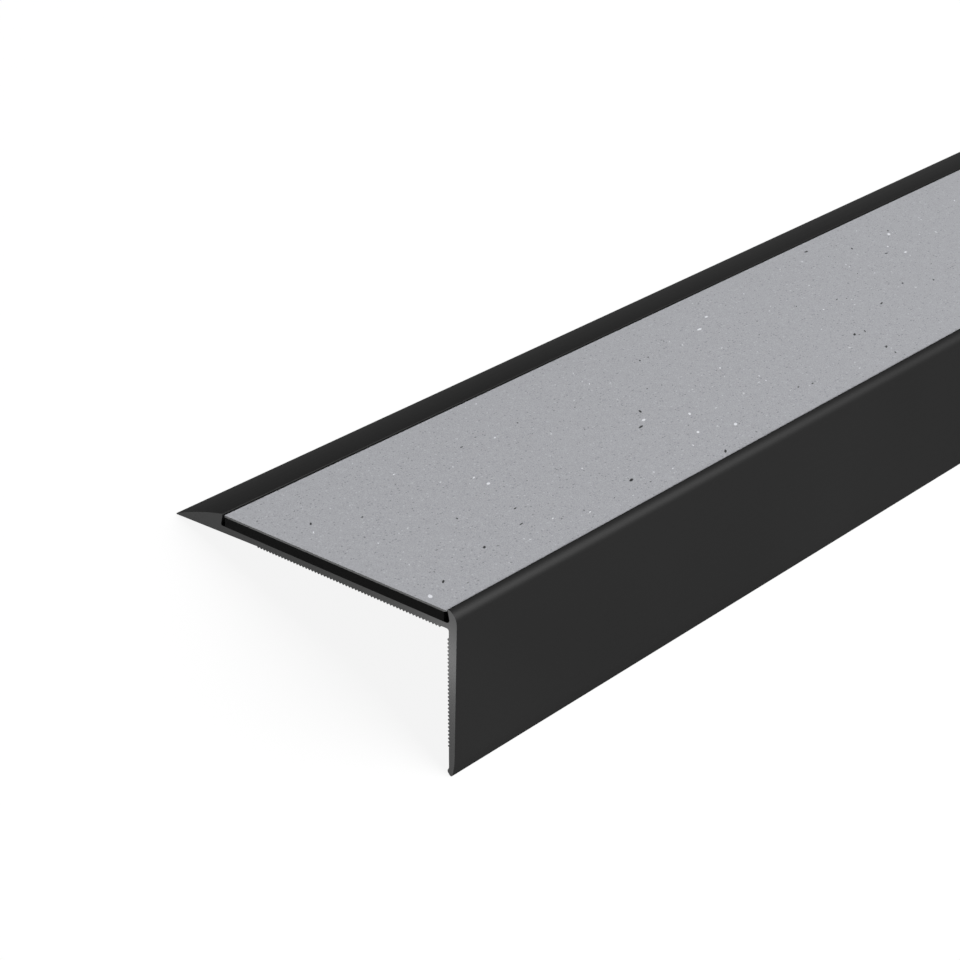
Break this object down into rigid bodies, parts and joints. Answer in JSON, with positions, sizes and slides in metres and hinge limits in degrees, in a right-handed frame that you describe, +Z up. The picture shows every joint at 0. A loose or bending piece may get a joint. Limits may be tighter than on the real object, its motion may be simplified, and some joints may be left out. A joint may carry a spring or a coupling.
{
  "type": "stair nosing",
  "caption": "Black aluminium angle that caps a stair edge, with a feathered ramp, a curled lip and a grey speckled strip set in its tread recess.",
  "frame": {"origin": "middle of the length, midway between the feathered edge and the toe, on the floor that both rest on", "axes": "+X towards the nose side, +Y along the length, +Z up from the floor"},
  "size_m": [0.0684, 1, 0.0281],
  "materials": {
    "black_coated_aluminium": "satin black coat, cut ends bare",
    "black_backing": "matt",
    "grey_speckled_vinyl": "matt with fine grain and sparse flecks"
  },
  "bodies": {
    "root": {"nosing_profile": "black_coated_aluminium", "insert_backing": "black_backing", "insert_strip": "grey_speckled_vinyl"}
  },
  "joints": []
}
